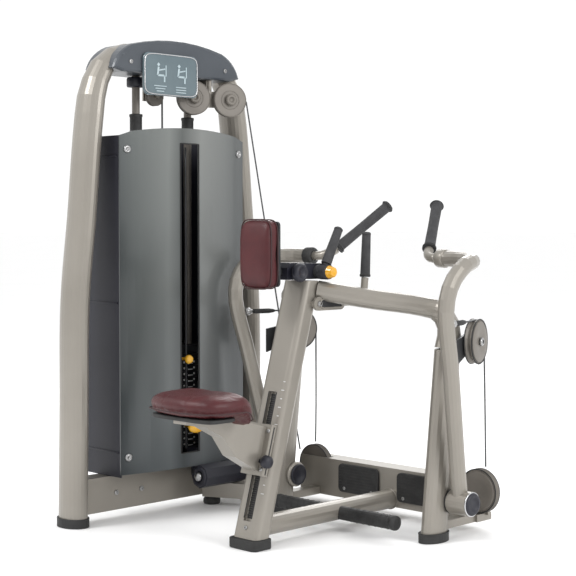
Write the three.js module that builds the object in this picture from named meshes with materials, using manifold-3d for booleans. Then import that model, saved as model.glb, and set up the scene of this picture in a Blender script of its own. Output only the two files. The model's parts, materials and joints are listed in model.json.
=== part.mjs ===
// Seated row machine with two pulled lever arms, a chest pad and a weight-stack tower.
// Millimetres, +Z up. +Y is the way the user faces, +X is the user's right hand.
import * as THREE from "three";
import { mergeVertices } from "three/addons/utils/BufferGeometryUtils.js";
import Module from "manifold-3d";

const wasm = await Module();
wasm.setup();

// ---- driving dimensions ------------------------------------------------
const GAP = 0.35;              // clearance between pieces that meet
const TX = -595, TY = 188;     // tower centre plane
const TUBE_X = 108, TUBE_Y = 76;            // tower tube, oval
const COL_W = 100, COL_D = 58, COL_LEAN = 0.286;   // seat column
const COL_Y0 = -8;             // column centre line at the floor
const LEG = { x: 318, w: 58, d: 100 };      // side legs
const HUB = { y: 475, z: 115, r: 36, x0: 353, x1: 421, pin: 14 };
const ARM_R = 24;              // lever arm tube
const BEAM = { y0: 604, y1: 674, z0: 32, z1: 154, x0: -390, x1: 268 };
const WHEEL = { x: 365, y: 565, z: 577, r: 66, w: 24 };
const BASE_PULLEY = { x: 338, y: 625, z: 124, r: 66, w: 20 };
const SEAT = { y: -190, z: 425, w: 310, l: 222, h: 62 };
const PAD = { y: 34, z: 836, w: 128, t: 58, h: 204 };
const STACK = { x: -606, w: 96, l: 372, z0: 200, pitch: 19, plates: 16 };
const ROD_DY = 108, ROD_R = 12.5;
const SHIELD = { x: -503, half: 258, bulge: 30, t: 5, z0: 152, z1: 1190, crown: 32 };

const group = new THREE.Group();
group.name = "seated_row";

// ---- solid helpers -----------------------------------------------------
function toSolid(geo) {
  const g = geo.clone();
  for (const k of Object.keys(g.attributes)) if (k !== "position") g.deleteAttribute(k);
  const m = mergeVertices(g, 1e-4);
  return new wasm.Manifold(new wasm.Mesh({
    numProp: 3,
    vertProperties: new Float32Array(m.attributes.position.array),
    triVerts: new Uint32Array(m.index.array),
  }));
}
function toGeo(solid) {
  const m = solid.getMesh();
  const g = new THREE.BufferGeometry();
  const p = new Float32Array(m.numVert * 3);
  for (let i = 0; i < m.numVert; i++) {
    for (let k = 0; k < 3; k++) p[3 * i + k] = m.vertProperties[m.numProp * i + k];
  }
  g.setAttribute("position", new THREE.BufferAttribute(p, 3));
  g.setIndex(new THREE.BufferAttribute(new Uint32Array(m.triVerts), 1));
  return g;
}
const cut = (geo, ...tools) => toGeo(tools.reduce((s, t) => s.subtract(toSolid(t)), toSolid(geo)));
const join = (geo, ...more) => toGeo(more.reduce((s, t) => s.add(toSolid(t)), toSolid(geo)));

const V = (x, y, z) => new THREE.Vector3(x, y, z);

// Ellipse tube along a path; section(t) gives [half width along side, half depth]
function sweep(points, section, opts = {}) {
  const n = opts.steps ?? 24, m = opts.sides ?? 20;
  const ref = opts.ref ?? V(1, 0, 0);
  const curve = points.length === 2
    ? new THREE.LineCurve3(points[0], points[1])
    : new THREE.CatmullRomCurve3(points, false, "centripetal");
  const rings = points.length === 2 ? 1 : n;
  const pos = [], idx = [];
  for (let i = 0; i <= rings; i++) {
    const t = i / rings;
    const c = curve.getPointAt(t), d = curve.getTangentAt(t).normalize();
    const side = ref.clone().addScaledVector(d, -ref.dot(d)).normalize();
    const up = new THREE.Vector3().crossVectors(d, side).normalize();
    const [a, b] = section(t);
    for (let j = 0; j < m; j++) {
      const f = (2 * Math.PI * j) / m;
      const p = c.clone().addScaledVector(side, a * Math.cos(f)).addScaledVector(up, b * Math.sin(f));
      pos.push(p.x, p.y, p.z);
    }
  }
  for (let i = 0; i < rings; i++) {
    for (let j = 0; j < m; j++) {
      const a = i * m + j, b = i * m + (j + 1) % m, c = a + m, e = b + m;
      idx.push(a, b, c, b, e, c);
    }
  }
  for (let j = 1; j < m - 1; j++) {
    idx.push(0, j + 1, j);
    idx.push(rings * m, rings * m + j, rings * m + j + 1);
  }
  const g = new THREE.BufferGeometry();
  g.setAttribute("position", new THREE.Float32BufferAttribute(pos, 3));
  g.setIndex(idx);
  return g;
}
const round = (r) => () => [r, r];

// Cylinder between two points
function rod(a, b, r, sides = 16, r2 = r) {
  const d = new THREE.Vector3().subVectors(b, a);
  const g = new THREE.CylinderGeometry(r2, r, d.length(), sides);
  g.applyQuaternion(new THREE.Quaternion().setFromUnitVectors(V(0, 1, 0), d.clone().normalize()));
  g.translate((a.x + b.x) / 2, (a.y + b.y) / 2, (a.z + b.z) / 2);
  return g;
}
function box(x0, x1, y0, y1, z0, z1) {
  const g = new THREE.BoxGeometry(x1 - x0, y1 - y0, z1 - z0);
  g.translate((x0 + x1) / 2, (y0 + y1) / 2, (z0 + z1) / 2);
  return g;
}
// Rounded rectangle outline
function rrect(w, h, r, steps = 4) {
  const s = new THREE.Shape();
  const a = w / 2, b = h / 2;
  s.moveTo(-a + r, -b);
  s.lineTo(a - r, -b); s.absarc(a - r, -b + r, r, -Math.PI / 2, 0, false);
  s.lineTo(a, b - r); s.absarc(a - r, b - r, r, 0, Math.PI / 2, false);
  s.lineTo(-a + r, b); s.absarc(-a + r, b - r, r, Math.PI / 2, Math.PI, false);
  s.lineTo(-a, -b + r); s.absarc(-a + r, -b + r, r, Math.PI, Math.PI * 1.5, false);
  return s;
}
function slab(shape, depth, seg = 4, bevel = 0) {
  return new THREE.ExtrudeGeometry(shape, {
    depth: depth - 2 * bevel, bevelEnabled: bevel > 0, bevelThickness: bevel,
    bevelSize: bevel, bevelOffset: -bevel, bevelSegments: 2, curveSegments: seg,
  }).translate(0, 0, bevel);
}
// Outline drawn in (Y, Z), thickness along X from x0 to x1
function plateYZ(pts, x0, x1) {
  const s = new THREE.Shape(pts.map(([y, z]) => new THREE.Vector2(y, z)));
  const g = slab(s, x1 - x0);
  g.applyMatrix4(new THREE.Matrix4().makeBasis(V(0, 1, 0), V(0, 0, 1), V(1, 0, 0)));
  g.translate(x0, 0, 0);
  return g;
}
// Outline drawn in (X, Z), thickness along Y from y0 to y1
function plateXZ(shape, y0, y1, x = 0, z = 0, seg = 4, bevel = 0) {
  const g = slab(shape, y1 - y0, seg, bevel);
  g.applyMatrix4(new THREE.Matrix4().makeBasis(V(1, 0, 0), V(0, 0, 1), V(0, -1, 0)));
  g.translate(x, y1, z);
  return g;
}
// Spool with a cable groove, axis along `axis` through c
function spool(c, axis, r, w, bore, groove = 7, sides = 28) {
  const h = w / 2, p = [];
  const v = (x, y) => p.push(new THREE.Vector2(x, y));
  v(bore, -h); v(r - 3, -h); v(r, -h + 2); v(r, -groove); v(r - 7, 0); v(r, groove);
  v(r, h - 2); v(r - 3, h); v(bore, h); v(bore, -h);
  const g = new THREE.LatheGeometry(p, sides);
  g.applyQuaternion(new THREE.Quaternion().setFromUnitVectors(V(0, 1, 0), axis.clone().normalize()));
  g.translate(c.x, c.y, c.z);
  return g;
}
function add(name, geo) {
  let s = toSolid(geo);
  if (s.volume() < 0) throw new Error(name + " is inside out");
  const parts = s.decompose();
  if (parts.length !== 1) throw new Error(`${name} has ${parts.length} bodies`);
  const mesh = new THREE.Mesh(toGeo(s), new THREE.MeshStandardMaterial());
  mesh.name = name;
  group.add(mesh);
  return mesh;
}
const mirrorX = (geo) => {
  const g = toGeo(toSolid(geo).mirror([1, 0, 0]));
  return g;
};
function pair(name, geo) {
  add("right_" + name, geo);
  add("left_" + name, mirrorX(geo));
}

// ---- tower -------------------------------------------------------------
const upPath = (s) => [
  V(TX, TY + s * 371, 0), V(TX, TY + s * 365, 350), V(TX, TY + s * 358, 690),
  V(TX, TY + s * 331, 945), V(TX, TY + s * 305, 1217), V(TX, TY + s * 284, 1340),
  V(TX, TY + s * 240, 1416), V(TX, TY + s * 170, 1450), V(TX, TY + s * 108, 1456),
];
const upright = (s, grow = 0) => sweep(upPath(s),
  (t) => [TUBE_X / 2 + grow - 16 * Math.max(0, t - 0.82) / 0.18,
    TUBE_Y / 2 + grow - 8 * Math.max(0, t - 0.82) / 0.18], { steps: 30, sides: 24 });
for (const [s, n] of [[-1, "left"], [1, "right"]]) {
  add(`tower_upright_${n}`, cut(upright(s), box(-900, 0, -600, 900, -60, 26)));
  const fy = TY + s * 371;
  add(`tower_foot_${n}`, sweep([V(TX, fy, 0), V(TX, fy, 25.6)],
    () => [TUBE_X / 2 + 5, TUBE_Y / 2 + 5], { sides: 24 }));
}
add("tower_base_beam", cut(box(-627, -563, TY - 365, TY + 365, 34, 142), upright(-1, GAP), upright(1, GAP)));

// head cover: arched block between the uprights, its ends pocketed for the tubes
const headShape = new THREE.Shape();
headShape.moveTo(-262, 1398);
headShape.quadraticCurveTo(-246, 1452, -186, 1476);
headShape.quadraticCurveTo(0, 1524, 186, 1476);
headShape.quadraticCurveTo(246, 1452, 262, 1398);
headShape.lineTo(222, 1388);
headShape.lineTo(-222, 1388);
headShape.lineTo(-262, 1398);
const headRaw = new THREE.ExtrudeGeometry(headShape, {
  depth: 128, bevelEnabled: true, bevelThickness: 10, bevelSize: 8, bevelOffset: -8,
  bevelSegments: 2, curveSegments: 7,
});
headRaw.applyMatrix4(new THREE.Matrix4().makeBasis(V(0, 1, 0), V(0, 0, 1), V(1, 0, 0)));
headRaw.translate(TX - 64, TY, 0);
add("head_cover", cut(headRaw, upright(-1, GAP), upright(1, GAP)));
const panelX = TX + 64 + 10 + GAP;
const panelGeo = slab(rrect(222, 132, 22), 9, 5, 2);
panelGeo.applyMatrix4(new THREE.Matrix4().makeBasis(V(0, 1, 0), V(0, 0, 1), V(1, 0, 0)));
panelGeo.translate(panelX, TY - 42, 1388);
add("info_panel", panelGeo);

// head pulleys, turned to face the cable that leaves for the front
const yaw = THREE.MathUtils.degToRad(24);
const run = V(Math.sin(yaw), Math.cos(yaw), 0);
const headAxis = V(Math.cos(yaw), -Math.sin(yaw), 0);
const HEAD_R = 55;
const bigC = V(-550, 272, 1328), outC = V(-500, 384, 1324);
const smallC = V(TX - 11, TY - 32, 1330);
const axle = (c, axis, half, r) => rod(
  c.clone().addScaledVector(axis, -half), c.clone().addScaledVector(axis, half), r, 20);
add("head_pulley_inner", spool(bigC, headAxis, HEAD_R, 22, 9.4));
add("head_pulley_outer", spool(outC, headAxis, HEAD_R, 22, 9.4));
add("head_pulley_stack", spool(smallC, V(1, 0, 0), 32, 20, 9.4, 6));
// one carrier plate behind the two big pulleys, hung from the cover, with both axles
const backC = (c, k) => c.clone().addScaledVector(headAxis, -k);
const carrierMid = bigC.clone().add(outC).multiplyScalar(0.5);
const carrierShape = rrect(196, 52, 24, 6);
const carrier = slab(carrierShape, 8, 6);
carrier.applyMatrix4(new THREE.Matrix4().makeBasis(run, V(0, 0, 1), headAxis));
carrier.translate(carrierMid.x - headAxis.x * 24, carrierMid.y - headAxis.y * 24, 1326);
const carrierPost = rod(V(-547, 338, 1330), V(-547, 338, 1387.6), 8, 16);
const axleOf = (c) => rod(backC(c, 22), c.clone().addScaledVector(headAxis, 16), 9, 16);
add("head_pulley_carrier", join(carrier, carrierPost, axleOf(bigC), axleOf(outC),
  box(TX - 37, TX - 31, TY - 60, TY + 160, 1362, 1387.6), box(TX - 37, TX - 31, TY - 60, TY - 4, 1314, 1370),
  box(TX - 37, TX + 48, TY + 138, TY + 160, 1362, 1387.6),
  rod(V(TX - 33, TY - 32, 1330), V(TX + 8, TY - 32, 1330), 9, 16)));

// guide rods with black sleeves at the top
const rodY = [TY - ROD_DY, TY + ROD_DY];
["left", "right"].forEach((n, i) => {
  add(`guide_rod_${n}`, rod(V(STACK.x, rodY[i], 150), V(STACK.x, rodY[i], 1387.6), ROD_R, 16));
});
// cross tray that the rods stand in, with a round bumper about each rod
const tray = cut(join(box(STACK.x - 40, STACK.x + 40, TY - 150, TY + 150, 142.4, 169.6),
  ...rodY.map((y) => rod(V(STACK.x, y, 168), V(STACK.x, y, STACK.z0 - GAP), 24, 16))),
  ...rodY.map((y) => rod(V(STACK.x, y, 150 - GAP), V(STACK.x, y, 210), ROD_R + GAP, 16)));
add("stack_tray", tray);

// weight plates: a comb outline keeps each plate readable
function plates(z0, count) {
  const s = new THREE.Shape(), w = STACK.w / 2, g = 2.2;
  s.moveTo(-w, z0);
  s.lineTo(w, z0);
  for (let i = 0; i < count; i++) {
    const z = z0 + i * STACK.pitch;
    s.lineTo(w, z + STACK.pitch - g);
    if (i < count - 1) {
      s.lineTo(w - 5, z + STACK.pitch - g);
      s.lineTo(w - 5, z + STACK.pitch);
      s.lineTo(w, z + STACK.pitch);
    }
  }
  s.lineTo(-w, z0 + count * STACK.pitch - g);
  s.closePath();
  return plateXZ(s, TY - STACK.l / 2, TY + STACK.l / 2, STACK.x, 0);
}
const bores = [...rodY, TY].map((y, i) => rod(V(STACK.x, y, 100), V(STACK.x, y, 900),
  i === 2 ? 12 : ROD_R + 1.2, 16));
const restTop = STACK.z0 + (STACK.plates - 1) * STACK.pitch;
const PIN_Z = restTop + 8.4;
const pinHole = (r) => rod(V(STACK.x, TY, PIN_Z), V(-520, TY, PIN_Z), r, 20);
add("stack_rest_plates", cut(plates(STACK.z0, STACK.plates - 1), ...bores));
add("stack_lifted_plate", cut(plates(restTop, 1), ...bores, pinHole(5.4)));
const topZ = restTop + STACK.pitch;
// top plate with the selector stem under it and the cable socket on it
add("stack_top_plate", cut(join(
  cut(box(STACK.x - 48, STACK.x + 48, TY - 186, TY + 186, topZ, topZ + 26), bores[0], bores[1]),
  rod(V(STACK.x, TY, 232), V(STACK.x, TY, topZ + 10), 10.5, 16),
  rod(V(STACK.x, TY, topZ + 20), V(STACK.x, TY, topZ + 60), 17, 24, 11)), pinHole(5.4)));
add("selector_pin", join(rod(V(STACK.x + 4, TY, PIN_Z), V(-488, TY, PIN_Z), 4.8, 20),
  new THREE.SphereGeometry(14, 20, 14).translate(-480, TY, PIN_Z)));

// shield: a bowed sheet with a long slot for the pin
function shieldGeo() {
  const n = 20, out = [], inn = [];
  for (let i = 0; i <= n; i++) {
    const u = -1 + (2 * i) / n, x = SHIELD.x + SHIELD.bulge * (1 - u * u);
    out.push(new THREE.Vector2(x, TY + u * SHIELD.half));
    inn.unshift(new THREE.Vector2(x - SHIELD.t, TY + u * (SHIELD.half - 1)));
  }
  const g = slab(new THREE.Shape([...out, ...inn]), SHIELD.z1 + SHIELD.crown - SHIELD.z0);
  g.translate(0, 0, SHIELD.z0);
  const top = new THREE.Shape();
  top.moveTo(-400, 60 + SHIELD.z1 + SHIELD.crown);
  top.lineTo(-400, SHIELD.z1 - 40);
  top.quadraticCurveTo(-262, SHIELD.z1 - 2, -215, SHIELD.z1 + 16);
  top.quadraticCurveTo(0, SHIELD.z1 + 2 * SHIELD.crown - 16, 215, SHIELD.z1 + 16);
  top.quadraticCurveTo(262, SHIELD.z1 - 2, 400, SHIELD.z1 - 40);
  top.lineTo(400, 60 + SHIELD.z1 + SHIELD.crown);
  top.closePath();
  const lid = new THREE.ExtrudeGeometry(top, { depth: 200, bevelEnabled: false, curveSegments: 12 });
  lid.applyMatrix4(new THREE.Matrix4().makeBasis(V(0, 1, 0), V(0, 0, 1), V(1, 0, 0)));
  lid.translate(-600, TY, 0);
  const slot = box(-560, -440, TY - 38, TY + 38, 196, SHIELD.z1 - 14);
  return cut(g, lid, slot);
}
add("stack_shield", shieldGeo());
const shroudEdge = SHIELD.x - SHIELD.t - GAP;
add("stack_shroud", cut(box(-680, shroudEdge, TY - 254, TY + 254, 143, 1192),
  box(-676, -400, TY - 250, TY + 250, 100, 1300)));

// foot of the stack: faceted roller-shaped bumper and dark box
const hexR = 38;
add("stack_foot_roll", join(rod(V(-460, 214, 118), V(-460, 396, 118), hexR, 8),
  box(-562.6, -480, 270, 340, 104, 134)));

// ---- floor frame -------------------------------------------------------
const colDir = V(0, COL_LEAN, 1).normalize();
const colFront = V(0, -1, COL_LEAN).normalize();
const colAt = (z, out = 0) => V(0, COL_Y0 + COL_LEAN * z, z).addScaledVector(colFront, out);
function alongColumn(shape, z0, z1, out = 0, bevel = 0) {
  const a = colAt(z0), b = colAt(z1);
  const g = slab(shape, a.distanceTo(b), 5, bevel);
  g.applyMatrix4(new THREE.Matrix4().makeBasis(V(1, 0, 0), colFront.clone().negate(), colDir));
  g.translate(a.x + colFront.x * out, a.y + colFront.y * out, a.z + colFront.z * out);
  return g;
}
const columnBody = (grow = 0) => alongColumn(rrect(COL_W + 2 * grow, COL_D + 2 * grow, 17), -60, 760);
const floorCut = join(box(-200, 200, -300, 300, -200, 30), box(-200, 200, -300, 500, 20, 29),
  box(-199, 199, 100, 400, 757, 900), box(190, 200, -300, 400, 20, 760));
const slotTool = alongColumn(rrect(31, 20, 4), 70, 432, COL_D / 2 - 2);
add("seat_column", cut(columnBody(), floorCut, slotTool));
add("column_foot", slab(rrect(COL_W + 12, COL_D + 18, 16), 29.6, 5, 3)
  .translate(0, COL_Y0 + COL_LEAN * 14, 0));
const legPath = [V(LEG.x, 431, 0), V(LEG.x, 462, 300), V(LEG.x, 492, 562)];
const legGeo = (grow = 0) => sweep(legPath, () => [LEG.w / 2 + grow, LEG.d / 2 + grow],
  { steps: 5, sides: 20 });
const pinBore = (grow = 0) => rod(V(250, HUB.y, HUB.z), V(470, HUB.y, HUB.z), HUB.pin + grow, 16);
const floorTube = (grow = 0) => sweep([V(0, 0, 56), V(0, BEAM.y0 - GAP, 56)],
  () => [33 + grow, 30 + grow], { sides: 20 });
// cross beam, pocketed for the left base pulley, with a low shelf and cheek for the right one,
// and both pulley axles
const bp = (s) => V(s * BASE_PULLEY.x, BASE_PULLEY.y, BASE_PULLEY.z);
add("cross_beam", join(
  cut(box(BEAM.x0, BEAM.x1, BEAM.y0, BEAM.y1, BEAM.z0, BEAM.z1),
    box(-BASE_PULLEY.x - 70, -BASE_PULLEY.x + 70, 611, 639, 44, 170)),
  box(250, 345, BEAM.y0, BEAM.y1, BEAM.z0, 54), box(250, 356, 642, 652, 50, 148),
  rod(bp(1).setY(614), bp(1).setY(645), 10, 16),
  rod(bp(-1).setY(606), bp(-1).setY(645), 10, 16)));
const tubeGeo = cut(floorTube(), columnBody(GAP), rod(V(-80, 352, 52), V(80, 352, 52), 21 + GAP, 16),
  box(-80, 80, -200, 36, -10, 30.4));
add("floor_tube", toGeo(toSolid(tubeGeo).decompose().sort((a, b) => b.volume() - a.volume())[0]));

// diagonal beam from the tower base to the left leg, trimmed to both
const diag = (() => {
  const a = V(-590, 340, 0), b = V(-318, 462, 0);
  const d = b.clone().sub(a), len = d.length();
  const g = box(0, len, -32, 32, 26.4, 76);
  g.rotateZ(Math.atan2(d.y, d.x));
  g.translate(a.x, a.y, 0);
  const body = cut(g, box(-700, -563 + GAP, 0, 700, 0, 200), mirrorX(legGeo(GAP)),
    box(-341, -200, 300, 800, 0, 300));
  return toGeo(toSolid(body).decompose().sort((p, q) => q.volume() - p.volume())[0]);
})();
add("link_beam", diag);

// each leg carries a short foot forward to the cross beam
pair("leg", cut(join(legGeo(), box(299, 337, 430, BEAM.y0 - GAP, BEAM.z0, 56)), pinBore(GAP), box(0, 600, 0, 900, -60, 26), box(0, 600, 0, 900, 558, 700)));
pair("leg_foot", sweep([V(LEG.x, 431, 0), V(LEG.x, 431, 25.6)],
  () => [LEG.w / 2 + 6, LEG.d / 2 + 6], { sides: 28 }));

const boomPath = [V(LEG.x, 491.8, 558.4), V(LEG.x, 499, 615), V(300, 480, 664),
  V(255, 428, 684), V(165, 328, 703), V(40, 232, 728)];
const boomTrim = cut(sweep(boomPath, (t) => {
  const k = Math.min(1, t / 0.3);
  return [LEG.w / 2 * (1 - k) + 29 * k, LEG.d / 2 * (1 - k) + 29 * k];
}, { steps: 14, sides: 20, ref: V(1, 0, 0.02) }), columnBody(GAP), box(-400, GAP, -100, 800, 300, 900),
  box(0, 600, 0, 900, 400, 558.4));
pair("boom", toGeo(toSolid(boomTrim).decompose().sort((a, b) => b.volume() - a.volume())[0]));

// foot pads and peg
const footPad = (x) => plateXZ(rrect(170, 92, 16), BEAM.y0 - 9, BEAM.y0 - GAP, x, 99, 5, 2);
add("foot_pad_right", footPad(122));
add("foot_pad_left", footPad(-126));
const pegY = 352, pegZ = 52;
add("foot_peg", rod(V(-240, pegY, pegZ), V(240, pegY, pegZ), 21, 16));

// ---- pivots and lever arms ---------------------------------------------
const wheelYaw = THREE.MathUtils.degToRad(16.4);
const wheelAxis = V(Math.cos(wheelYaw), Math.sin(wheelYaw), 0);
const wheelRun = V(-Math.sin(wheelYaw), Math.cos(wheelYaw), 0);
const wheelC = V(WHEEL.x, WHEEL.y, WHEEL.z);
pair("pivot_pin", join(rod(V(280, HUB.y, HUB.z), V(HUB.x1 - 4, HUB.y, HUB.z), HUB.pin, 16),
  rod(V(276, HUB.y, HUB.z), V(284, HUB.y, HUB.z), 25, 20, 28)));
const armPath = [V(381, HUB.y, HUB.z), V(388, 452, 210), V(397, 429, 310), V(414, 385, 505),
  V(429, 343, 690), V(434, 362, 756), V(434, 416, 802), V(408, 486, 815), V(330, 520, 819),
  V(262, 526, 820)];
const pinBoreArm = rod(V(300, HUB.y, HUB.z), V(HUB.x1 - 3.6, HUB.y, HUB.z), HUB.pin + GAP, 16);
const armTube = sweep(armPath, round(ARM_R), { steps: 30, sides: 14, ref: V(1, 0, 0.001) });
const hubGeo = rod(V(HUB.x0, HUB.y, HUB.z), V(HUB.x1, HUB.y, HUB.z), HUB.r, 24);
const elbowPts = [V(264, 526, 820), V(222, 530, 822), V(200, 546, 832), V(189, 563, 843)];
const elbow = sweep(elbowPts, round(14), { steps: 8, sides: 14, ref: V(0, 0, 1) });
pair("arm", cut(join(armTube, hubGeo, elbow), pinBoreArm));
const gripA = V(188.6, 563.8, 843.5), gripB = V(100, 712, 981);
const gripD = gripB.clone().sub(gripA).normalize();
const gripLen = gripA.distanceTo(gripB);
const gripGeo = new THREE.LatheGeometry([
  new THREE.Vector2(0, 5), new THREE.Vector2(20, 5), new THREE.Vector2(20, 12),
  new THREE.Vector2(17, 17), new THREE.Vector2(16, gripLen * 0.5),
  new THREE.Vector2(17, gripLen - 12), new THREE.Vector2(20.5, gripLen - 7),
  new THREE.Vector2(20.5, gripLen), new THREE.Vector2(0, gripLen + 2)], 16);
gripGeo.applyQuaternion(new THREE.Quaternion().setFromUnitVectors(V(0, 1, 0), gripD));
gripGeo.translate(gripA.x, gripA.y, gripA.z);
pair("grip", gripGeo);
// ---- cable wheels on the legs, base pulleys ----------------------------
pair("cable_wheel", spool(wheelC, wheelAxis, WHEEL.r, WHEEL.w, 10.4));
const wheelPlate = (() => {
  const p = new THREE.Shape([[-128, -70], [-40, -40], [22, -22], [26, 8], [10, 24], [-30, 24],
    [-128, 6]].map(([a, b]) => new THREE.Vector2(a, b)));
  const g = slab(p, 8);
  g.applyMatrix4(new THREE.Matrix4().makeBasis(wheelRun, V(0, 0, 1), wheelAxis));
  const c = wheelC.clone().addScaledVector(wheelAxis, -24);
  g.translate(c.x, c.y, c.z);
  return g;
})();
const wheelAxle = rod(wheelC.clone().addScaledVector(wheelAxis, -20),
  wheelC.clone().addScaledVector(wheelAxis, 17), 10, 16);
const wheelMount = cut(join(wheelPlate, wheelAxle), legGeo(GAP), boomTrim);
pair("wheel_mount", toGeo(toSolid(wheelMount).decompose().sort((a, b) => b.volume() - a.volume())[0]));
add("right_base_pulley", spool(bp(1), V(0, 1, 0), BASE_PULLEY.r, BASE_PULLEY.w, 10.4));
add("left_base_pulley", spool(bp(-1), V(0, 1, 0), BASE_PULLEY.r, BASE_PULLEY.w, 10.4));

// ---- seat --------------------------------------------------------------
const seatLean = (z) => colAt(z, COL_D / 2 + GAP);
const carriageBody = alongColumn(rrect(92, 22, 5), 196, 338, COL_D / 2 + GAP + 11);
const tongue = alongColumn(rrect(26, 12, 2), 214, 320, COL_D / 2 - 2);
const bracketOutline = [];
{
  const f = (z, o) => { const p = seatLean(z).addScaledVector(colFront, o); return [p.y, p.z]; };
  bracketOutline.push(f(330, 20), [-90, 379], [-268, 391.6], [-268, 380], [-196, 366], [-128, 330],
    [-86, 272], f(206, 20));
}
const bracketGeo = plateYZ(bracketOutline, -26, 26);
const seatBase = slab(rrect(250, 108, 40), 9, 5).translate(0, SEAT.y - 29, 391);
add("seat_carriage", join(carriageBody, tongue, bracketGeo, seatBase));
function cushion(w, l, h, power, lean) {
  // pillow with a flat underside: superellipse rings
  const rings = 8, m = 28, pos = [], idx = [];
  const ring = (k, z) => {
    for (let j = 0; j < m; j++) {
      const f = (2 * Math.PI * j) / m, c = Math.cos(f), s = Math.sin(f);
      const e = 2 / power;
      pos.push(k * w / 2 * Math.sign(c) * Math.abs(c) ** e, k * l / 2 * Math.sign(s) * Math.abs(s) ** e, z);
    }
  };
  ring(0.93, 0);
  for (let i = 0; i <= rings - 2; i++) {
    const a = (i / (rings - 1)) * Math.PI * 0.5;
    ring(1 - 0.5 * (1 - Math.cos(a)) ** 1.6, h * (0.35 + 0.65 * Math.sin(a)));
  }
  const n = pos.length / 3 / m;
  for (let i = 0; i < n - 1; i++) {
    for (let j = 0; j < m; j++) {
      const a = i * m + j, b = i * m + (j + 1) % m;
      idx.push(a, b, a + m, b, b + m, a + m);
    }
  }
  const topI = pos.length / 3;
  pos.push(0, 0, h * 1.0, 0, 0, 0);
  for (let j = 0; j < m; j++) {
    const k = (j + 1) % m;
    idx.push((n - 1) * m + j, (n - 1) * m + k, topI);
    idx.push(k, j, topI + 1);
  }
  const g = new THREE.BufferGeometry();
  for (let i = 0; i < pos.length; i += 3) pos[i + 2] += lean * pos[i + 1] * (pos[i + 2] / h);
  g.setAttribute("position", new THREE.Float32BufferAttribute(pos, 3));
  g.setIndex(idx);
  return g;
}
// the front third of the seat droops into a deep lobe, notched underneath for the bracket
const seatGeo = cushion(SEAT.w, SEAT.l, SEAT.h, 2.9, 0);
{
  const p = seatGeo.getAttribute("position");
  for (let i = 0; i < p.count; i++) {
    const t = Math.min(1, Math.max(0, (p.getY(i) - 32) / (SEAT.l / 2 - 32)));
    p.setZ(i, p.getZ(i) - 46 * t * t * (3 - 2 * t) * (1 - 0.5 * p.getZ(i) / SEAT.h));
  }
  seatGeo.translate(0, SEAT.y, 400.4);
}
add("seat_cushion", cut(seatGeo, box(-27, 27, -180, -40, 300, 400.4),
  box(-200, 200, -400, -160, 300, 400.4)));

// ---- chest pad ---------------------------------------------------------
const padGeo = cushion(PAD.w, PAD.h, PAD.t - 8, 4.2, 0);
padGeo.applyMatrix4(new THREE.Matrix4().makeBasis(V(1, 0, 0), V(0, 0, 1), V(0, -1, 0)));
padGeo.translate(0, PAD.y + PAD.t / 2 - 8.4, PAD.z);
add("chest_pad", padGeo);
const headZ = 782;
const tubeY0 = PAD.y + PAD.t / 2 - 4;
add("pad_slide_tube", join(sweep([V(0, tubeY0, headZ), V(0, 330, headZ)], () => [15, 15], { sides: 24 }),
  plateXZ(rrect(112, 186, 12), PAD.y + PAD.t / 2 - 8, PAD.y + PAD.t / 2, 0, PAD.z, 5, 1)));
const housing = cut(plateYZ([[112, 762], [112, 796], [126, 810], [270, 806], [300, 790], [300, 761.2],
  [216, 761.2], [112, 761.2]], -34, 34),
  rod(V(0, 90, headZ), V(0, 340, headZ), 15 + GAP, 16), columnBody(GAP));
add("pad_slide_housing", toGeo(toSolid(housing).decompose().sort((a, b) => b.volume() - a.volume())[0]));
// adjuster: dark barrel with a coloured end cap and an upright lever
const adjA = V(50.6, 238, 742);
add("adjuster_end_cap", rod(V(82.4, adjA.y, headZ), V(98, adjA.y, headZ), 19, 20, 15));
add("adjuster_lever", join(rod(V(34.6, adjA.y, headZ), V(82, adjA.y, headZ), 21, 20),
  rod(V(60, adjA.y + 9, headZ + 24), V(60, 300, 905), 15.5, 20, 13),
  rod(V(60, adjA.y + 6, headZ + 18), V(60, adjA.y + 12, headZ + 30), 9, 16)));
// assist handle: link plate, curved tube and upright grip
const linkShape = rrect(132, 40, 19, 6);
const linkGeo = slab(linkShape, 7, 6);
linkGeo.applyMatrix4(new THREE.Matrix4().makeBasis(V(0, 1, 0), V(0, 0, 1), V(1, 0, 0)));
linkGeo.translate(COL_W / 2 + 8, 258, 690);
const handlePath = [V(62, 308, 690), V(76, 350, 694), V(80, 386, 716), V(80, 396, 762)];
const handleTube = sweep(handlePath, round(11), { steps: 16, sides: 16, ref: V(1, 0, 0.01) });
const linkBoss = rod(V(COL_W / 2 + GAP, 199, 690), V(COL_W / 2 + 10, 199, 690), 9, 16);
add("assist_handle", cut(join(linkGeo, handleTube, linkBoss), boomTrim));
add("assist_grip", rod(V(80, 396.2, 766), V(80, 402, 892), 15, 20, 13));

// ---- cables ------------------------------------------------------------
const CR = 2.6;
add("stack_cable", rod(V(STACK.x, TY, topZ + 60.4), V(STACK.x, TY, 1330), CR, 10));
const outTan = outC.clone().addScaledVector(run, HEAD_R + 3.2);
add("front_cable", sweep([V(outTan.x, outTan.y, 1322), V(-398, 640 - 30, 168)], round(CR), { sides: 10 }));
pair("arm_cable", sweep([wheelC.clone().addScaledVector(wheelRun, WHEEL.r + 3.2),
  V(349, 636, 300), V(351, 636, 196)], round(CR), { steps: 6, sides: 10, ref: V(1, 0, 0.01) }));

// ---- place: centre of the footprint on the origin ----------------------
const all = new THREE.Box3().setFromObject(group);
const shift = V(-Math.round((all.min.x + all.max.x) / 2 * 100) / 100,
  -Math.round((all.min.y + all.max.y) / 2 * 100) / 100, 0);
for (const m of group.children) {
  m.geometry.translate(shift.x, shift.y, shift.z);
  m.geometry.computeVertexNormals();
}
export default group;
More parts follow.
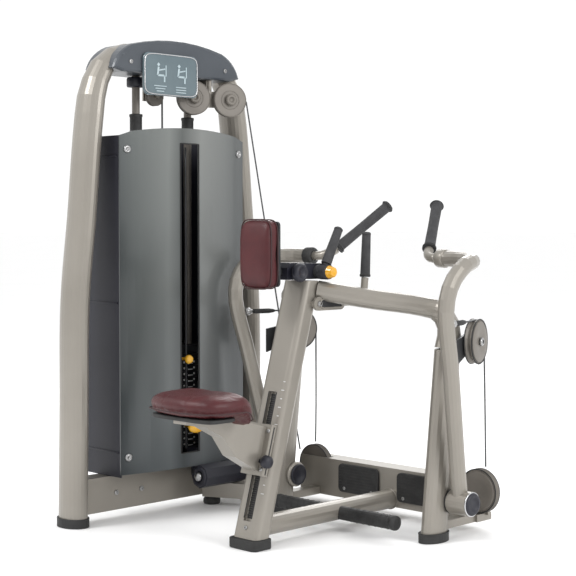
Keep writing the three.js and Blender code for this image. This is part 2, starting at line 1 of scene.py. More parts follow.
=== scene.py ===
# Seated row machine: looks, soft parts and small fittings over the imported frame.
import json
import math
import bmesh
import bpy
from mathutils import Matrix, Vector


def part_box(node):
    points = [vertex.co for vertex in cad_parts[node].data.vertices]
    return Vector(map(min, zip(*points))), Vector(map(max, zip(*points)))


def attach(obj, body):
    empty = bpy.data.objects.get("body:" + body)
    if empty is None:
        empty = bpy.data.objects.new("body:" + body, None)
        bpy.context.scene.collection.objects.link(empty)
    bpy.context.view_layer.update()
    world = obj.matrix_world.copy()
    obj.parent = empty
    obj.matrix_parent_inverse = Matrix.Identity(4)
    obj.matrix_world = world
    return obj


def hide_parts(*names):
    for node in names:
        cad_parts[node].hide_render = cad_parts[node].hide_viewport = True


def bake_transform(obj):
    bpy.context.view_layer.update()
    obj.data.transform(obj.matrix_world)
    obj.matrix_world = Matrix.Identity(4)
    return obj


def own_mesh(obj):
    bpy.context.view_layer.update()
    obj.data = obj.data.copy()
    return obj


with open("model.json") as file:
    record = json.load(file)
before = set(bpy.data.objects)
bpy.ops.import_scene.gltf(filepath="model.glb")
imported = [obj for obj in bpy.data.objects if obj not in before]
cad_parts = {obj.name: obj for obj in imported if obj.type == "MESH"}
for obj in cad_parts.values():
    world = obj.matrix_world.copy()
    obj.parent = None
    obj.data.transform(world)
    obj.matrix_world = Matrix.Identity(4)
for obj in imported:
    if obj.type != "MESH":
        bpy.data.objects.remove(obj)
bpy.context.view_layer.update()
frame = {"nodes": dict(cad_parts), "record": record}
SX, SY = 0.10998, -0.21297          # part.mjs places the footprint's centre on the origin
WHEEL_YAW_DEG = 16.4                # the cable wheels' axles turn towards the levers
HEAD_YAW_DEG = 24                   # the head pulleys' axles turn towards the user
COLUMN_LEAN = 0.286                 # the seat column's run for each unit of height
PLATE_PITCH = 19                    # mm


def P(x, y, z):
    """A point given in part.mjs millimetres, in the row frame in metres."""
    return Vector((x / 1000 + SX, y / 1000 + SY, z / 1000))


# ---- camera ------------------------------------------------------------
scn = bpy.context.scene
AZ, DIP = math.radians(44.63), math.radians(2.55)
cam = bpy.data.objects.new("camera", bpy.data.cameras.new("camera"))
scn.collection.objects.link(cam)
scn.camera = cam
cam.data.sensor_width = 36
cam.data.lens = 87.97
cam.location = P(2870, -2758, 918)
look = Vector((-math.sin(AZ) * math.cos(DIP), math.cos(AZ) * math.cos(DIP), -math.sin(DIP)))
cam.rotation_euler = look.to_track_quat("-Z", "Y").to_euler()


# ---- materials ---------------------------------------------------------
def ramp(nt, fac, stops):
    n = nt.nodes.new("ShaderNodeValToRGB")
    while len(n.color_ramp.elements) < len(stops):
        n.color_ramp.elements.new(0.5)
    for e, (p, c) in zip(n.color_ramp.elements, stops):
        e.position, e.color = p, (*c, 1)
    nt.links.new(fac, n.inputs[0])
    return n.outputs[0]


def noise(nt, scale, detail=3.0, rough=0.5, stretch=(1, 1, 1)):
    co = nt.nodes.new("ShaderNodeTexCoord")
    mp = nt.nodes.new("ShaderNodeMapping")
    mp.inputs["Scale"].default_value = stretch
    nt.links.new(co.outputs["Object"], mp.inputs[0])
    n = nt.nodes.new("ShaderNodeTexNoise")
    n.inputs["Scale"].default_value = scale
    n.inputs["Detail"].default_value = detail
    n.inputs["Roughness"].default_value = rough
    nt.links.new(mp.outputs[0], n.inputs["Vector"])
    return n.outputs["Fac"]


def cells(nt, scale, feature="F1"):
    co = nt.nodes.new("ShaderNodeTexCoord")
    n = nt.nodes.new("ShaderNodeTexVoronoi")
    n.feature = feature
    n.inputs["Scale"].default_value = scale
    nt.links.new(co.outputs["Object"], n.inputs["Vector"])
    return n.outputs["Distance"]


def mul(nt, a, k, add=0.0):
    n = nt.nodes.new("ShaderNodeMath")
    n.operation = "MULTIPLY_ADD"
    n.inputs[1].default_value = k
    n.inputs[2].default_value = add
    nt.links.new(a, n.inputs[0])
    return n.outputs[0]


def plus(nt, a, b):
    n = nt.nodes.new("ShaderNodeMath")
    n.operation = "ADD"
    nt.links.new(a, n.inputs[0])
    nt.links.new(b, n.inputs[1])
    return n.outputs[0]


def material(name, dark, light, rough=0.45, metal=0.0, vary=6.0, grain=None, depth=0.0002,
             rough_vary=0.12, coat=0.0, spec=0.5, stretch=(1, 1, 1)):
    """Colour drifts between dark and light; grain(nt) is the fine height; roughness drifts too."""
    m = bpy.data.materials.new(name)
    m.use_nodes = True
    nt = m.node_tree
    b = nt.nodes["Principled BSDF"]
    base = noise(nt, vary, 4.0, 0.6, stretch)
    nt.links.new(ramp(nt, base, [(0.32, dark), (0.68, light)]), b.inputs["Base Color"])
    nt.links.new(mul(nt, noise(nt, vary * 3.1, 3.0), rough_vary, rough - rough_vary / 2),
                 b.inputs["Roughness"])
    b.inputs["Metallic"].default_value = metal
    b.inputs["Coat Weight"].default_value = coat
    b.inputs["Coat Roughness"].default_value = 0.15
    b.inputs["Specular IOR Level"].default_value = spec
    if grain:
        bump = nt.nodes.new("ShaderNodeBump")
        bump.inputs["Strength"].default_value = 1.0
        bump.inputs["Distance"].default_value = depth
        nt.links.new(grain(nt), bump.inputs["Height"])
        nt.links.new(bump.outputs[0], b.inputs["Normal"])
    return m


def leather(nt):
    fine = cells(nt, 620)
    return plus(nt, mul(nt, fine, 0.8), mul(nt, noise(nt, 60, 4.0, 0.65), 1.1))


def weave(nt):
    co = nt.nodes.new("ShaderNodeTexCoord")
    n = nt.nodes.new("ShaderNodeTexWave")
    n.wave_type = "BANDS"
    n.bands_direction = "DIAGONAL"
    n.inputs["Scale"].default_value = 190
    n.inputs["Distortion"].default_value = 0.6
    nt.links.new(co.outputs["Object"], n.inputs["Vector"])
    return n.outputs["Fac"]


MAT = {
    "frame_paint": material("frame_paint", (0.245, 0.226, 0.197), (0.275, 0.255, 0.224), 0.34, 0.42, 3.0,
                            lambda nt: noise(nt, 1600, 2.0), 0.00002, 0.04, 0.2),
    "upholstery": material("upholstery", (0.046, 0.0062, 0.0082), (0.070, 0.010, 0.012), 0.38, 0.0, 14.0,
                           leather, 0.00030, 0.12, 0.0, 0.35),
    "rubber": material("rubber", (0.010, 0.010, 0.010), (0.021, 0.021, 0.021), 0.62, 0.0, 26.0,
                       lambda nt: cells(nt, 900), 0.00018, 0.15),
    "dark_cover": material("dark_cover", (0.007, 0.0075, 0.014), (0.012, 0.0125, 0.021), 0.5, 0.0, 4.0,
                           lambda nt: noise(nt, 1400, 2.0), 0.00008, 0.1),
    "head_cover": material("head_cover", (0.042, 0.050, 0.061), (0.056, 0.065, 0.077), 0.36, 0.1, 4.0,
                           lambda nt: noise(nt, 1400, 2.0), 0.00006, 0.08, 0.15),
    "pulley": material("pulley", (0.135, 0.121, 0.106), (0.175, 0.159, 0.139), 0.45, 0.15, 9.0,
                       lambda nt: noise(nt, 500, 2.0), 0.00006),
    "steel": material("steel", (0.020, 0.021, 0.023), (0.045, 0.046, 0.049), 0.45, 0.5, 9.0,
                      lambda nt: noise(nt, 700, 3.0), 0.0001),
    "panel": material("panel", (0.070, 0.105, 0.122), (0.105, 0.145, 0.162), 0.2, 0.0, 5.0,
                      lambda nt: noise(nt, 300, 2.0), 0.00002, 0.05, 0.6),
    "panel_mark": material("panel_mark", (0.33, 0.42, 0.45), (0.42, 0.5, 0.53), 0.3, 0.0, 30.0,
                           lambda nt: noise(nt, 300, 2.0), 0.00002),
    "yellow_plastic": material("yellow_plastic", (0.62, 0.30, 0.012), (0.78, 0.42, 0.03), 0.22, 0.0, 20.0,
                               lambda nt: noise(nt, 400, 2.0), 0.00004, 0.08, 0.4),
    "cable": material("cable", (0.055, 0.057, 0.06), (0.10, 0.10, 0.105), 0.4, 0.2, 40.0, weave, 0.0003),
    "grip_foam": material("grip_foam", (0.022, 0.022, 0.024), (0.04, 0.04, 0.043), 0.7, 0.0, 40.0,
                          lambda nt: plus(nt, cells(nt, 520), mul(nt, noise(nt, 1800, 2.0), 0.4)), 0.0005),
    "bright_steel": material("bright_steel", (0.50, 0.50, 0.51), (0.66, 0.66, 0.67), 0.2, 0.95, 12.0,
                             lambda nt: noise(nt, 160, 3.0, 0.5, (1, 1, 14)), 0.00003),
    "stitch": material("stitch", (0.022, 0.005, 0.006), (0.04, 0.009, 0.01), 0.6, 0.0, 60.0, weave, 0.0003),
    "mark": material("mark", (0.55, 0.55, 0.54), (0.66, 0.66, 0.65), 0.5, 0.0, 40.0,
                     lambda nt: noise(nt, 600, 2.0), 0.00003),
    "bolt": material("bolt", (0.30, 0.30, 0.30), (0.42, 0.42, 0.42), 0.3, 0.9, 30.0,
                     lambda nt: noise(nt, 500, 2.0), 0.00005),
}


def shield_painted_light_material():
    """Grey moulded sheet with its light painted in: painted highlights down the middle of each half,
    painted shade at the edges and foot.
    """
    # The colour set up below is painted light and shade on plain grey plastic.
    m = material("shield_tint", (0.1, 0.1, 0.1), (0.2, 0.2, 0.2), 0.3, 0.3, 3.0,
                 lambda nt: noise(nt, 700, 2.0), 0.00004, 0.08, 0.3)
    nt = m.node_tree
    b = nt.nodes["Principled BSDF"]
    co = nt.nodes.new("ShaderNodeTexCoord")
    sep = nt.nodes.new("ShaderNodeSeparateXYZ")
    nt.links.new(co.outputs["Object"], sep.inputs[0])
    lo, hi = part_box("stack_shield")
    k = 1 / (hi[1] - lo[1])
    across = mul(nt, sep.outputs[1], k, -lo[1] * k)
    drift = plus(nt, across, mul(nt, noise(nt, 2.0, 2.0), 0.06, -0.03))
    # painted shade at the edges and beside the slot, painted highlights down each half and right of the
    # slot
    painted_shade_across = ramp(nt, drift, [(0.0, (0.040, 0.047, 0.048)), (0.12, (0.085, 0.094, 0.093)),
                            (0.34, (0.165, 0.176, 0.172)), (0.44, (0.085, 0.092, 0.091)),
                            (0.6, (0.200, 0.208, 0.204)), (0.8, (0.150, 0.158, 0.157)),
                            (1.0, (0.075, 0.082, 0.085))])
    # painted light up the sheet: darker towards the foot, brighter towards the top
    painted_light_up = ramp(nt, mul(nt, sep.outputs[2], 1 / (hi[2] - lo[2]), -lo[2] / (hi[2] - lo[2])),
                [(0.0, (0.62, 0.65, 0.70)), (0.55, (0.85, 0.86, 0.86)), (1.0, (1.0, 1.0, 0.98))])
    mix = nt.nodes.new("ShaderNodeMix")
    mix.data_type = "RGBA"
    mix.blend_type = "MULTIPLY"
    mix.inputs["Factor"].default_value = 1.0
    nt.links.new(painted_shade_across, mix.inputs[6])
    nt.links.new(painted_light_up, mix.inputs[7])
    nt.links.new(mix.outputs[2], b.inputs["Base Color"])
    return m


# the stack shield's material, with painted highlights and painted shade
MAT["shield_tint"] = shield_painted_light_material()


def paint_node(node, slot):
    o = frame["nodes"][node]
    o.data.materials.clear()
    o.data.materials.append(MAT[slot])


for part in frame["record"]["subparts"]:
    paint_node(part["node"], part["material_slot"])
paint_node("head_cover", "head_cover")
for side in ("right", "left"):
    paint_node(side + "_wheel_mount", "steel")
paint_node("pad_slide_tube", "steel")
for side in ("right", "left"):
    paint_node("guide_rod_" + side, "pulley")


# ---- building helpers --------------------------------------------------
def finish_mesh(name, bm, mat, body, smooth=True, slot=None):
    bmesh.ops.recalc_face_normals(bm, faces=bm.faces)
    me = bpy.data.meshes.new(name)
    bm.to_mesh(me)
    bm.free()
    if smooth:
        me.shade_smooth()
    o = bpy.data.objects.new(name, me)
    scn.collection.objects.link(o)
    me.materials.append(MAT[mat])
    if body:
        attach(o, body)
    return o


def lathe_into(bm, origin, axis, profile, sides=32):
    """Adds a closed turned solid: profile is (radius, distance along axis) pairs."""
    q = Vector((0, 0, 1)).rotation_difference(Vector(axis).normalized())
    rings = []
    for r, h in profile:
        ring = []
        for j in range(sides):
            a = 2 * math.pi * j / sides
            v = q @ Vector((max(r, 1e-5) * math.cos(a), max(r, 1e-5) * math.sin(a), h))
            ring.append(bm.verts.new(Vector(origin) + v))
        rings.append(ring)
    for a, b in zip(rings, rings[1:]):
        for j in range(sides):
            k = (j + 1) % sides
            bm.faces.new((a[j], a[k], b[k], b[j]))
    bm.faces.new(rings[0][::-1])
    bm.faces.new(rings[-1])


def lathe(name, origin, axis, profile, mat, body, sides=32):
    bm = bmesh.new()
    lathe_into(bm, origin, axis, profile, sides)
    return finish_mesh(name, bm, mat, body)


def tube_into(bm, pts, r, sides=14, closed=False):
    n = len(pts)
    rings = []
    up = Vector((0.13, 0.21, 1.0)).normalized()
    for i, p in enumerate(pts):
        a = pts[(i - 1) % n] if (closed or i) else pts[0]
        b = pts[(i + 1) % n] if (closed or i < n - 1) else pts[-1]
        d = (b - a).normalized()
        s = d.cross(up)
        s = s.normalized() if s.length > 1e-3 else d.orthogonal().normalized()
        u = s.cross(d).normalized()
        rr = r(i / (n - 1)) if callable(r) else r
        rings.append([bm.verts.new(p + s * rr * math.cos(t) + u * rr * math.sin(t))
                      for t in (2 * math.pi * j / sides for j in range(sides))])
        up = u
    pairs = list(zip(rings, rings[1:])) + ([(rings[-1], rings[0])] if closed else [])
    for a, b in pairs:
        for j in range(sides):
            k = (j + 1) % sides
            bm.faces.new((a[j], a[k], b[k], b[j]))
    if not closed:
        bm.faces.new(rings[0][::-1])
        bm.faces.new(rings[-1])


def tube(name, pts, r, mat, body, sides=14, closed=False):
    bm = bmesh.new()
    tube_into(bm, pts, r, sides, closed)
    return finish_mesh(name, bm, mat, body)


def soft_box(name, centre, size, bevel, mat, body, turn=None, seg=3):
    bm = bmesh.new()
    bmesh.ops.create_cube(bm, size=1.0)
    bmesh.ops.scale(bm, vec=Vector(size), verts=bm.verts)
    bmesh.ops.bevel(bm, geom=bm.edges[:], offset=bevel, segments=seg, profile=0.6, affect="EDGES")
    if turn:
        bmesh.ops.rotate(bm, matrix=turn, verts=bm.verts)
    bmesh.ops.translate(bm, vec=Vector(centre), verts=bm.verts)
    o = finish_mesh(name, bm, mat, body)
    return o


def bolt_into(bm, origin, axis, r=0.006, h=0.004):
    """Domed socket-head screw with a real recess."""
    lathe_into(bm, origin, axis, [(r, 0), (r, h * 0.55), (r * 0.86, h * 0.9), (r * 0.5, h),
                                  (r * 0.48, h * 0.35), (0.0, h * 0.35)], 20)


def bolts(name, places, body, mat="bolt", r=0.006, h=0.004):
    bm = bmesh.new()
    for origin, axis in places:
        bolt_into(bm, origin, axis, r, h)
    return finish_mesh(name, bm, mat, body, smooth=False)


X, Y, Z = Vector((1, 0, 0)), Vector((0, 1, 0)), Vector((0, 0, 1))
SIDES = ((1, "right"), (-1, "left"))


def superellipse(w, l, power, n):
    out = []
    for j in range(n):
        a = 2 * math.pi * j / n
        c, s = math.cos(a), math.sin(a)
        out.append((w / 2 * math.copysign(abs(c) ** (2 / power), c),
                    l / 2 * math.copysign(abs(s) ** (2 / power), s)))
    return out


def inflate(o, cap, pressure=4.0, frames=20, voxel=0.005):
    """Cloth with inner pressure puffs the pad; no point moves further than cap."""
    rm = o.modifiers.new("remesh", "REMESH")
    rm.mode = "VOXEL"
    rm.voxel_size = voxel
    dg = bpy.context.evaluated_depsgraph_get()
    me = bpy.data.meshes.new_from_object(o.evaluated_get(dg))
    o.modifiers.clear()
    mats = [m for m in o.data.materials]
    o.data = me
    me.materials.clear()
    for m in mats:
        me.materials.append(m)
    rest = [v.co.copy() for v in me.vertices]
    cl = o.modifiers.new("cloth", "CLOTH")
    st = cl.settings
    st.use_pressure = True
    st.uniform_pressure_force = pressure
    st.effector_weights.gravity = 0.0
    st.mass = 0.4
    st.tension_stiffness = 18
    st.bending_stiffness = 2.0
    cl.collision_settings.use_collision = False
    scn.frame_start, scn.frame_end = 1, frames
    for f in range(1, frames + 1):
        scn.frame_set(f)
    dg = bpy.context.evaluated_depsgraph_get()
    out = bpy.data.meshes.new_from_object(o.evaluated_get(dg))
    o.modifiers.clear()
    for v, r in zip(out.vertices, rest):
        d = v.co - r
        if d.length > cap:
            v.co = r + d * (cap / d.length)
    out.materials.clear()
    for m in mats:
        out.materials.append(m)
    o.data = out
    scn.frame_set(1)


# ---- seat cushion ------------------------------------------------------
def seat_height(u, v):
    """Crowned saddle: thick front lobe (v>0 faces the column), thinner rear edge, dished middle."""
    edge = max(abs(u), abs(v))
    crown = (1 - min(1.0, abs(u)) ** 3.2) ** 0.5 * (1 - min(1.0, abs(v)) ** 3.2) ** 0.5
    dish = -0.10 * math.exp(-((u / 0.42) ** 2) - (((v + 0.1) / 0.6) ** 2))
    lobe = 0.10 * math.exp(-(((v - 0.55) / 0.35) ** 2))
    return min(1.0, 0.50 + 0.50 * crown ** 0.7 * (1 + dish + lobe) - 0.02 * edge)


def droop(x, y, share, under=False):
    """How far the front third hangs below the flat seat; the underside is notched for the bracket."""
    t = min(1.0, max(0.0, (y - 0.034) / 0.074))
    d = 0.044 * t * t * (3 - 2 * t) * (1 - 0.5 * share)
    if under:
        k = min(1.0, max(0.0, (abs(x) - 0.030) / 0.012))
        d *= k * k * (3 - 2 * k)
    return d


def build_seat():
    lo, hi = (Vector(c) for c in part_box("seat_cushion"))
    c = (lo + hi) / 2
    w, l, h = (hi.x - lo.x) * 0.955, (hi.y - lo.y) * 0.955, 0.0595
    base = hi.z - 0.0615
    n, m = 52, 38
    bm = bmesh.new()
    top, bot = [], []
    for i in range(m + 1):
        rt, rb = [], []
        v = -1 + 2 * i / m
        for j in range(n + 1):
            u = -1 + 2 * j / n
            # square grid pushed out to a rounded outline with a waist at the sides
            x = u * math.sqrt(1 - 0.39 * v * v)
            y = v * math.sqrt(1 - 0.39 * u * u)
            x *= 1 - 0.035 * math.cos(math.pi * v * 0.5) ** 2
            z = seat_height(u, v)
            x, y = x * w / 2, y * l / 2
            rt.append(bm.verts.new((c.x + x, c.y + y, base + 0.003 + z * h * 0.93 - droop(x, y, z))))
            rb.append(bm.verts.new((c.x + x * 0.97, c.y + y * 0.97, base + 0.003 - droop(x, y, 0, True))))
        top.append(rt)
        bot.append(rb)
    for i in range(m):
        for j in range(n):
            bm.faces.new((top[i][j], top[i][j + 1], top[i + 1][j + 1], top[i + 1][j]))
            bm.faces.new((bot[i][j], bot[i + 1][j], bot[i + 1][j + 1], bot[i][j + 1]))
    rim = [(0, j) for j in range(n)] + [(i, n) for i in range(m)] \
        + [(m, j) for j in range(n, 0, -1)] + [(i, 0) for i in range(m, 0, -1)]
    for a, b in zip(rim, rim[1:] + rim[:1]):
        bm.faces.new((top[a[0]][a[1]], bot[a[0]][a[1]], bot[b[0]][b[1]], top[b[0]][b[1]]))
    edge = [top[a][b].co.copy() for a, b in rim]
    o = finish_mesh("seat_upholstery", bm, "upholstery", None)
    inflate(o, 0.005, 3.2)
    for v in o.data.vertices:
        if v.co.y < c.y + 0.036 or abs(v.co.x - c.x) < 0.030:
            v.co.z = max(v.co.z, base + 0.0025)
        v.co.z = min(v.co.z, hi.z)
    sub = o.modifiers.new("sub", "SUBSURF")
    sub.levels = sub.render_levels = 1
    o.data.shade_smooth()
    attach(o, "seat")
    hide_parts("seat_cushion")
    ring = []
    for p in edge:
        d = Vector((p.x - c.x, p.y - c.y, 0))
        ring.append(Vector((p.x, p.y, base + 0.015 - droop(d.x, d.y, 0.25))) + d.normalized() * 0.0028)
    lip = bmesh.new()
    rings = []
    for k, z in ((0.97, -0.0112), (1.0, -0.0095), (1.0, -0.0018), (0.985, -0.0006)):
        rings.append([lip.verts.new((c.x + x * k, c.y - 0.029 + y * k, base + z))
                      for x, y in superellipse(0.256, 0.114, 5, 64)])
    for a, b in zip(rings, rings[1:]):
        for j in range(64):
            k = (j + 1) % 64
            lip.faces.new((a[j], a[k], b[k], b[j]))
    lip.faces.new(rings[0][::-1])
    lip.faces.new(rings[-1])
    finish_mesh("seat_pan", lip, "rubber", "seat")
    welt = tube("seat_welt", ring, 0.0019, "stitch", "seat", 8, closed=True)


def build_chest_pad():
    lo, hi = (Vector(c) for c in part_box("chest_pad"))
    c = (lo + hi) / 2
    w, t, h = (hi - lo) * 0.955
    n = 48
    bm = bmesh.new()
    rings = []
    for s, y in ((0.965, 0.0), (1.0, 0.10), (1.0, 0.62), (0.965, 0.80), (0.86, 0.92), (0.6, 0.975)):
        ring = []
        for x, z in superellipse(w * s, h * s, 5.5, n):
            # the face swells about the vertical middle, the corners stay back
            waist = 1 - 0.03 * math.cos(math.pi * z / h) ** 2
            yy = hi.y - 0.003 - y * t * (1.0 - 0.22 * (abs(z) / (h / 2)) ** 3 * (y > 0.5))
            ring.append(bm.verts.new((c.x + x * waist, yy, c.z + z)))
        rings.append(ring)
    for a, b in zip(rings, rings[1:]):
        for j in range(n):
            k = (j + 1) % n
            bm.faces.new((a[j], a[k], b[k], b[j]))
    bm.faces.new(rings[0][::-1])
    bm.faces.new(rings[-1])
    o = finish_mesh("chest_pad_upholstery", bm, "upholstery", None)
    inflate(o, 0.005, 3.0)
    for v in o.data.vertices:
        v.co.y = min(v.co.y, hi.y - 0.002)
    sub = o.modifiers.new("sub", "SUBSURF")
    sub.levels = sub.render_levels = 1
    o.data.shade_smooth()
    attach(o, "chest_support")
    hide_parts("chest_pad")
    for k, y in ((1.004, hi.y - 0.008), (1.012, hi.y - 0.034)):
        ring = [Vector((c.x + x, y, c.z + z)) for x, z in superellipse(w * k, h * k, 5.5, 96)]
        wl = tube("chest_welt_%d" % round(y * 1000 % 1000), ring, 0.0019, "stitch", "chest_support", 8,
                closed=True)


build_seat()
build_chest_pad()


# ---- head of the tower -------------------------------------------------
def head():
    lo, hi = (Vector(c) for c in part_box("info_panel"))
    x = hi.x + 0.0004
    cy, cz = (lo.y + hi.y) / 2, (lo.z + hi.z) / 2
    bm = bmesh.new()

    def bar(y, z, w, h, turn=0.0):
        r = Matrix.Rotation(turn, 3, "X")
        v = [bm.verts.new(Vector((x, cy + y, cz + z)) + r @ Vector((0, a, b)))
             for a, b in ((-w / 2, -h / 2), (w / 2, -h / 2), (w / 2, h / 2), (-w / 2, h / 2))]
        u = [bm.verts.new(p.co + Vector((0.0007, 0, 0))) for p in v]
        bm.faces.new(v[::-1])
        bm.faces.new(u)
        for i in range(4):
            k = (i + 1) % 4
            bm.faces.new((v[i], v[k], u[k], u[i]))
    # two seated figures as plain strokes, then short blank rules
    for y0 in (-0.048, 0.036):
        bar(y0 - 0.004, 0.030, 0.009, 0.009, 0.78)
        bar(y0 - 0.006, 0.010, 0.007, 0.026, -0.16)
        bar(y0 + 0.006, -0.003, 0.026, 0.006)
        bar(y0 + 0.020, -0.013, 0.006, 0.020)
        bar(y0 + 0.010, 0.015, 0.026, 0.004, 0.2)
        bar(y0 + 0.026, 0.012, 0.004, 0.034)
    for i in range(3):
        bar(-0.045, -0.036 - i * 0.008, 0.050 - i * 0.010, 0.0025)
        bar(0.040, -0.036 - i * 0.008, 0.042, 0.0025)
    finish_mesh("panel_pictograms", bm, "panel_mark", "frame", smooth=False)
    frame_pts = [Vector((x + 0.0008, cy + a, cz + b)) for a, b in
                 superellipse((hi.y - lo.y) * 0.97, (hi.z - lo.z) * 0.95, 7, 72)]
    tube("panel_rim", frame_pts, 0.0016, "bright_steel", "frame", 8, closed=True)
    # raised lip along the cover's arched edge
    clo, chi = (Vector(c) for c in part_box("head_cover"))
    lip = []
    for i in range(41):
        u = -1 + i / 20
        y = (clo.y + chi.y) / 2 + u * (chi.y - clo.y) * 0.44
        z = chi.z - 0.012 - 0.052 * abs(u) ** 2.6
        lip.append(Vector((chi.x - 0.0035, y, z)))
    tube("cover_lip", lip, 0.0042, "head_cover", "frame", 10)
    bolts("cover_screws", [(P(-521.2, 188 + s * 196, 1420), X) for s in (-1, 1)], "frame", r=0.007)
    # pulley hub caps on the carrier's axles
    yaw = math.radians(HEAD_YAW_DEG)
    ax = Vector((math.cos(yaw), -math.sin(yaw), 0))
    cap = [(0.019, 0), (0.019, 0.004), (0.015, 0.0085), (0.0085, 0.0095), (0.008, 0.006), (0, 0.006)]
    for c, n in ((P(-550, 272, 1328), "inner"), (P(-500, 384, 1324), "outer")):
        lathe("head_pulley_cap_" + n, c + ax * 0.0164, ax, cap, "pulley", "frame", 24)
        body = n + "_head_pulley"
        rings = bmesh.new()
        for r in (0.0535, 0.030):
            pts = []
            for k in range(48):
                t = 2 * math.pi * k / 48
                side = Vector((-ax.y, ax.x, 0))
                pts.append(c + ax * 0.0112 + side * r * math.cos(t) + Z * r * math.sin(t))
            tube_into(rings, pts, 0.0012, 8, True)
        finish_mesh("head_pulley_beads_" + n, rings, "pulley", body)


head()


# ---- tower fittings ----------------------------------------------------
def tower():
    rods = (P(-606, 80, 0), P(-606, 296, 0))
    for (r, n) in zip(rods, ("left", "right")):
        lathe("rod_sleeve_" + n, r + Z * 1.205, Z, [(0.0135, 0), (0.021, 0.001), (0.0225, 0.006),
              (0.0195, 0.012), (0.0195, 0.052), (0.0215, 0.058), (0.0205, 0.063), (0.0135, 0.064)],
              "rubber", "frame")
        lathe("rod_collar_" + n, r + Z * 1.352, Z, [(0.0135, 0), (0.027, 0.001), (0.029, 0.005),
              (0.029, 0.026), (0.026, 0.031), (0.0135, 0.032)], "dark_cover", "frame")
    # shield fasteners
    x0 = -503
    bm = bmesh.new()
    for y, z in ((-232, 1150), (232, 1150), (-232, 205), (232, 205)):
        u = y / 258
        bx = x0 + 30 * (1 - u * u)
        lathe_into(bm, P(bx - 0.2, 188 + y, z), (1, 0.22 * u, 0), [(0.012, 0), (0.012, 0.003),
                   (0.0095, 0.0055), (0.005, 0.006), (0.0046, 0.003), (0, 0.003)], 24)
    finish_mesh("shield_fasteners", bm, "bolt", "frame")
    # trim round the slot: follows the bowed sheet
    pts = []
    zs = (198, 1174)
    face = x0 + 30 * (1 - (38 / 258) ** 2) + 0.4
    for k in range(9):
        pts.append(P(face, 150, zs[0] + (zs[1] - zs[0]) * k / 8))
    for k in range(1, 8):
        pts.append(P(face + 0.6 * math.sin(math.pi * k / 8), 150 + 76 * k / 8, zs[1]))
    for k in range(9):
        pts.append(P(face, 226, zs[1] - (zs[1] - zs[0]) * k / 8))
    for k in range(1, 8):
        pts.append(P(face + 0.6 * math.sin(math.pi * k / 8), 226 - 76 * k / 8, zs[0]))
    tube("slot_trim", pts, 0.0022, "rubber", "frame", 8, closed=True)
    # blank pips beside the slot, one for each plate
    bm = bmesh.new()
    for k in range(15):
        z = 209 + PLATE_PITCH * k
        for y in (236, 246, 278):
            lathe_into(bm, P(-557.8, y, z), X, [(0.0034, 0), (0.0034, 0.0008), (0.0026, 0.0012), (0,
                    0.0012)], 14)
        tube_into(bm, [P(-557.6, 252 + 5 * i, z - 5) for i in range(5)], 0.0017, 8)
    finish_mesh("plate_pips", bm, "mark", "frame")
    # increment knob low in the slot, on its rail
    tube("increment_rail", [P(-512, 204, 205 + 60 * k) for k in range(17)], 0.0036, "steel", "frame", 10)
    bm = bmesh.new()
    lathe_into(bm, P(-513, 204, 277), X, [(0.008, 0), (0.0085, 0.030), (0.022, 0.036), (0.029, 0.045),
               (0.029, 0.053), (0.022, 0.062), (0.010, 0.065), (0, 0.0655)], 36)
    for v in bm.verts:
        v.co.z = 0.277 + (v.co.z - 0.277) * 0.62
    finish_mesh("increment_knob", bm, "yellow_plastic", "frame")
    # seam ribs on the dark side cover
    lo, hi = (Vector(c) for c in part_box("stack_shroud"))
    for i, z in enumerate((0.22, 0.68, 1.13)):
        soft_box("shroud_rib_%d" % i, ((lo.x + hi.x) / 2, lo.y - 0.0008, z), (0.15, 0.003, 0.006), 0.0012,
                 "dark_cover", "frame")
    # dark moulded box, wedge and ball at the foot of the stack
    soft_box("foot_box", P(-536, 300, 178), (0.052, 0.105, 0.048), 0.009, "dark_cover", "frame")
    soft_box("foot_wedge", P(-545, 424, 112), (0.030, 0.060, 0.060), 0.010, "rubber", "frame")
    lathe("foot_ball", P(-460, 213.6, 118), -Y, [(0.013, 0), (0.0145, 0.003), (0.0135, 0.009), (0.009,
            0.014),
          (0.003, 0.0165), (0, 0.0168)], "bolt", "frame", 28)
    lathe("roll_end_ring", P(-460, 214, 118), -Y, [(0.0345, -0.001), (0.0345, 0.002), (0.030, 0.004),
            (0.019, 0.0035),
          (0.0185, 0.001), (0.0, 0.001)], "dark_cover", "frame", 8)
    lathe("corner_foot", P(-556, 354, 0.4), Z, [(0.026, 0), (0.028, 0.004), (0.028, 0.016), (0.022, 0.024),
          (0.02, 0.026), (0, 0.026)], "rubber", "frame")
    bolts("base_screws", [(P(-562.8, y, 88), X) for y in (-40, 60, 452, 500)], "frame", r=0.008)
    for s, n in ((-1, "left"), (1, "right")):
        c = P(-595, 188 + s * 371, 0)
        pts = [c + Vector((0.0568 * math.cos(a), 0.0408 * math.sin(a), 0.0255))
               for a in (2 * math.pi * k / 48 for k in range(48))]
        tube("tower_foot_bead_" + n, pts, 0.0024, "rubber", "frame", 8, closed=True)


tower()


